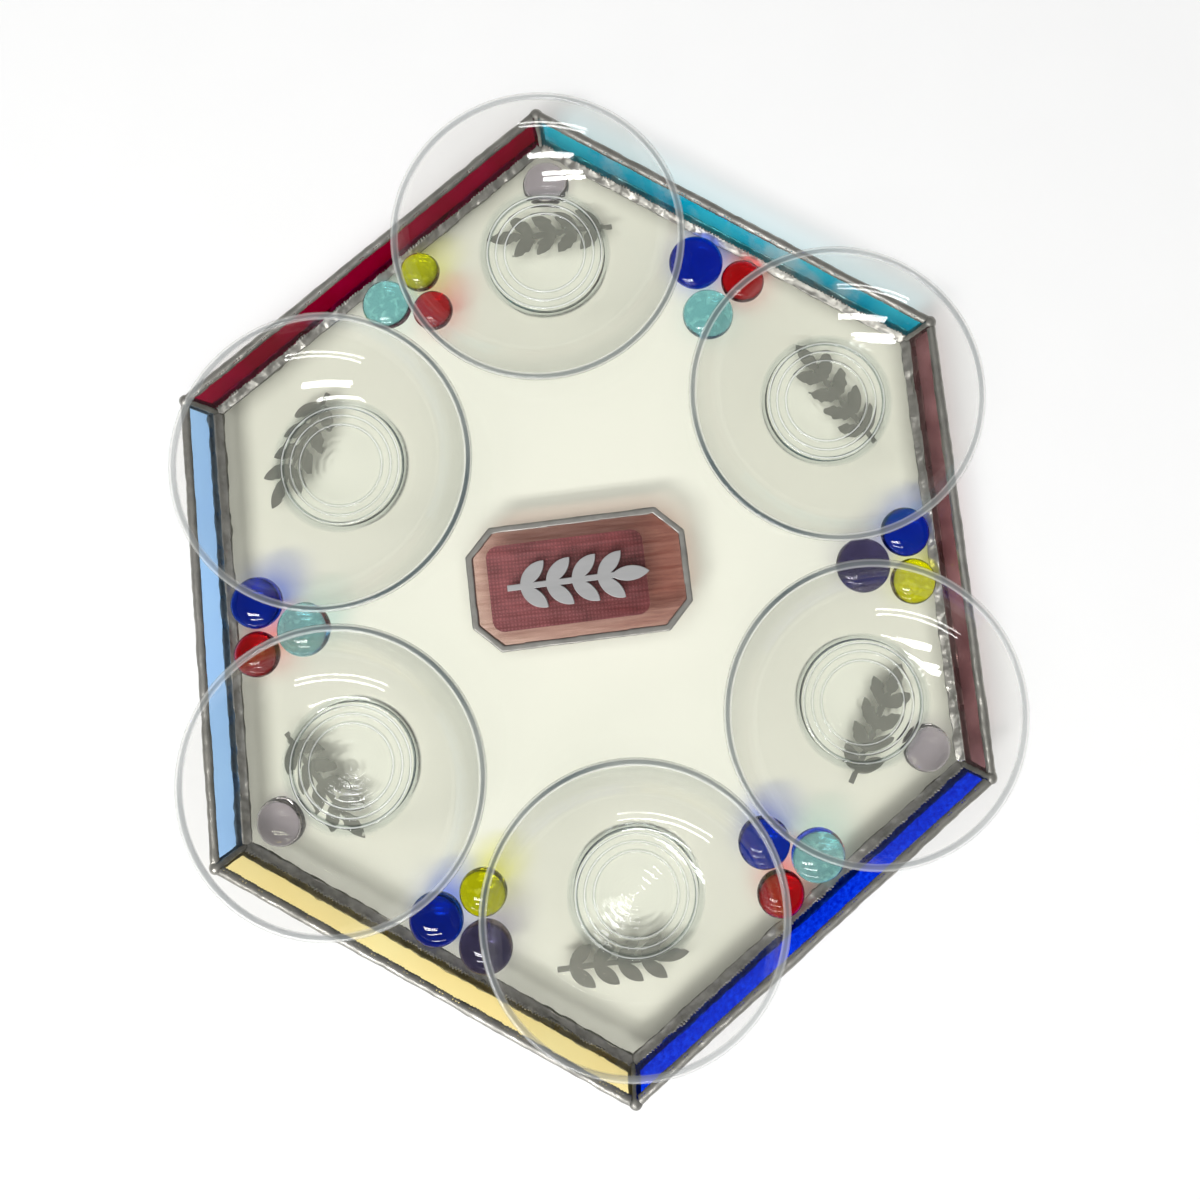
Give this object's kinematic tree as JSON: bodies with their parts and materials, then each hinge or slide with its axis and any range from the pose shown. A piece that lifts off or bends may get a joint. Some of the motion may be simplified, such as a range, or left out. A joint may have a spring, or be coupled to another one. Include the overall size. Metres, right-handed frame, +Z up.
{
  "type": "seder plate",
  "caption": "Hexagonal stained-glass seder plate: soldered tray with coloured glass walls, glass nuggets, a central plaque and loose clear glass bowls",
  "frame": {"origin": "On the table under the middle of the whole set's box, bowls included", "axes": "+Z up out of the tray; +Y towards the far corner of the hexagon's long axis (the top of the picture); +X to the right in the picture, across the plaque's length"},
  "size_m": [0.2622, 0.325, 0.0367],
  "materials": {
    "clear_sheet": "clear float glass, glossy",
    "bowl_glass": "clear pressed glass, glossy",
    "turquoise_glass": "streaky cathedral glass, glossy",
    "mauve_glass": "streaky cathedral glass, glossy",
    "cobalt_glass": "granular cathedral glass, glossy",
    "amber_glass": "opalescent glass, glossy",
    "sky_glass": "opalescent glass, glossy",
    "red_glass": "cathedral glass, glossy",
    "blue_nugget": "transparent fire-polished glass",
    "red_nugget": "transparent fire-polished glass",
    "aqua_nugget": "transparent fire-polished glass",
    "yellow_nugget": "transparent fire-polished glass",
    "purple_nugget": "transparent fire-polished glass",
    "lavender_nugget": "transparent fire-polished glass",
    "solder": "hand-run tin solder, satin and slightly lumpy",
    "rose_glass": "opalescent glass, glossy",
    "pad": "matt adhesive pad",
    "satin_metal": "satin cast metal"
  },
  "bodies": {
    "tray": {"base_glass": "clear_sheet", "wall_glass_turquoise": "turquoise_glass", "rim_solder_turquoise": "solder", "floor_seam_turquoise": "solder", "corner_solder_top": "solder", "wall_glass_mauve": "mauve_glass", "rim_solder_mauve": "solder", "floor_seam_mauve": "solder", "corner_solder_upper_right": "solder", "wall_glass_cobalt": "cobalt_glass", "rim_solder_cobalt": "solder", "floor_seam_cobalt": "solder", "corner_solder_lower_right": "solder", "wall_glass_amber": "amber_glass", "rim_solder_amber": "solder", "floor_seam_amber": "solder", "corner_solder_bottom": "solder", "wall_glass_sky": "sky_glass", "rim_solder_sky": "solder", "floor_seam_sky": "solder", "corner_solder_lower_left": "solder", "wall_glass_red": "red_glass", "rim_solder_red": "solder", "floor_seam_red": "solder", "corner_solder_upper_left": "solder", "nugget_turquoise_blue": "blue_nugget", "nugget_turquoise_red": "red_nugget", "nugget_turquoise_aqua": "aqua_nugget", "nugget_mauve_blue": "blue_nugget", "nugget_mauve_yellow": "yellow_nugget", "nugget_mauve_purple": "purple_nugget", "nugget_cobalt_aqua": "aqua_nugget", "nugget_cobalt_red": "red_nugget", "nugget_cobalt_blue": "blue_nugget", "nugget_amber_purple": "purple_nugget", "nugget_amber_blue": "blue_nugget", "nugget_amber_yellow": "yellow_nugget", "nugget_sky_red": "red_nugget", "nugget_sky_blue": "blue_nugget", "nugget_sky_aqua": "aqua_nugget", "nugget_red_aqua": "aqua_nugget", "nugget_red_yellow": "yellow_nugget", "nugget_red_red": "red_nugget", "foot_top": "lavender_nugget", "foot_lower_right": "lavender_nugget", "foot_lower_left": "lavender_nugget", "plaque_pad": "pad", "plaque_glass": "rose_glass", "plaque_solder": "solder", "plaque_sprig": "satin_metal"},
    "top_bowl": {"bowl_top": "bowl_glass"},
    "upper_right_bowl": {"bowl_upper_right": "bowl_glass"},
    "lower_right_bowl": {"bowl_lower_right": "bowl_glass"},
    "bottom_bowl": {"bowl_bottom": "bowl_glass"},
    "lower_left_bowl": {"bowl_lower_left": "bowl_glass"},
    "upper_left_bowl": {"bowl_upper_left": "bowl_glass"}
  },
  "joints": [
    {"name": "top_bowl_lift", "type": "slide", "parent": "tray", "child": "top_bowl", "axis": [0, 0, 1], "range_m": [0, 0.06]},
    {"name": "upper_right_bowl_lift", "type": "slide", "parent": "tray", "child": "upper_right_bowl", "axis": [0, 0, 1], "range_m": [0, 0.06]},
    {"name": "lower_right_bowl_lift", "type": "slide", "parent": "tray", "child": "lower_right_bowl", "axis": [0, 0, 1], "range_m": [0, 0.06]},
    {"name": "bottom_bowl_lift", "type": "slide", "parent": "tray", "child": "bottom_bowl", "axis": [0, 0, 1], "range_m": [0, 0.06]},
    {"name": "lower_left_bowl_lift", "type": "slide", "parent": "tray", "child": "lower_left_bowl", "axis": [0, 0, 1], "range_m": [0, 0.06]},
    {"name": "upper_left_bowl_lift", "type": "slide", "parent": "tray", "child": "upper_left_bowl", "axis": [0, 0, 1], "range_m": [0, 0.06]}
  ]
}
